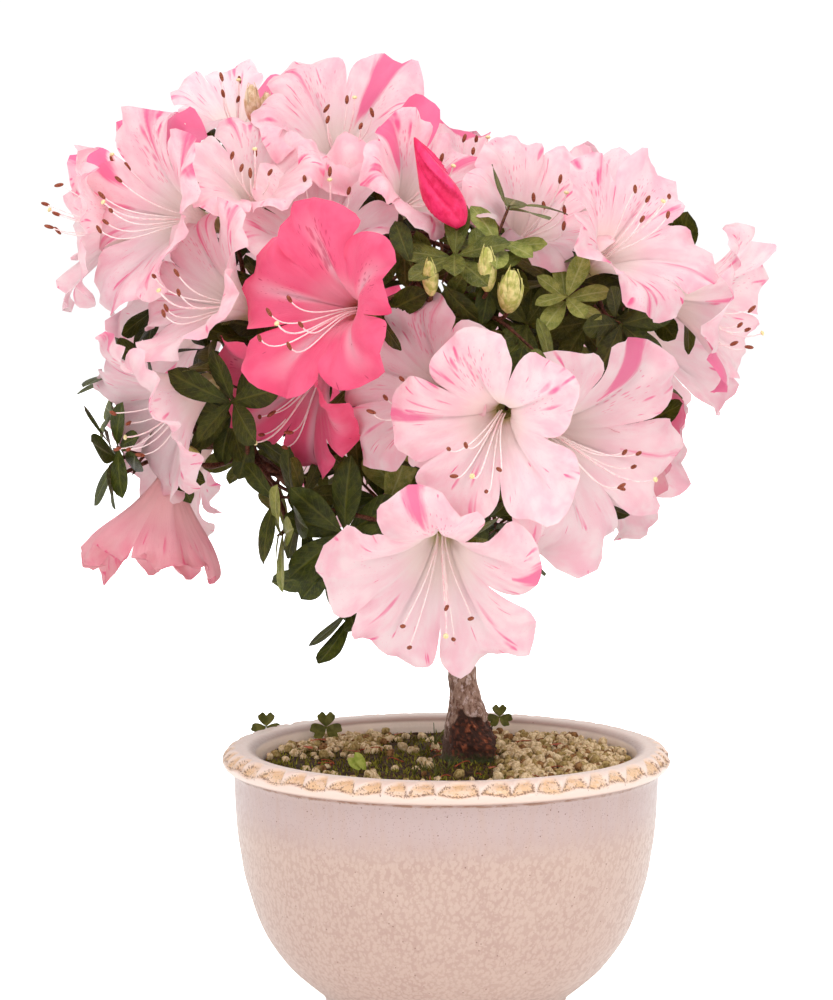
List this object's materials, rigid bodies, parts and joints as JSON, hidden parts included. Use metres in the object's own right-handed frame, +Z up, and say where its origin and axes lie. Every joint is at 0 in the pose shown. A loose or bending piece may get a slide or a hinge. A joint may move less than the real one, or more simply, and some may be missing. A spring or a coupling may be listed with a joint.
{
  "type": "potted azalea bonsai",
  "caption": "Azalea grown as a small tree with a bare leaning trunk and a rounded crown of funnel blooms and leaf whorls, in a round glazed pot.",
  "frame": {"origin": "centre of the pot's flat underside, on the surface it stands on", "axes": "+Z up, +X to the right of the front view, +Y away from the viewer"},
  "size_m": [0.2659, 0.2427, 0.3646],
  "materials": {
    "glaze": "cream glaze with a fine crystal mottle",
    "soil": "damp grit and moss",
    "bark": "brown bark with pale lichen",
    "bloom": "soft petals, matt leaves"
  },
  "bodies": {
    "root": {"pot": "glaze", "soil": "soil", "trunk": "bark", "bough_low_left": "bark", "bough_low_right": "bark", "bough_low_front": "bark", "bough_low_back": "bark", "bough_left": "bark", "bough_front": "bark", "bough_right": "bark", "bough_back_left": "bark", "bough_front_left": "bark", "bough_back_right": "bark", "bough_top_left": "bark", "bough_top_front": "bark", "mass_front": "bloom", "mass_low_front": "bloom", "mass_front_left": "bloom", "mass_low_left": "bloom", "mass_left": "bloom", "mass_top_left": "bloom", "mass_top": "bloom", "mass_top_front": "bloom", "mass_top_right": "bloom", "mass_low_right": "bloom", "mass_back_left": "bloom", "mass_back_right": "bloom", "mass_low_back": "bloom"}
  },
  "joints": []
}
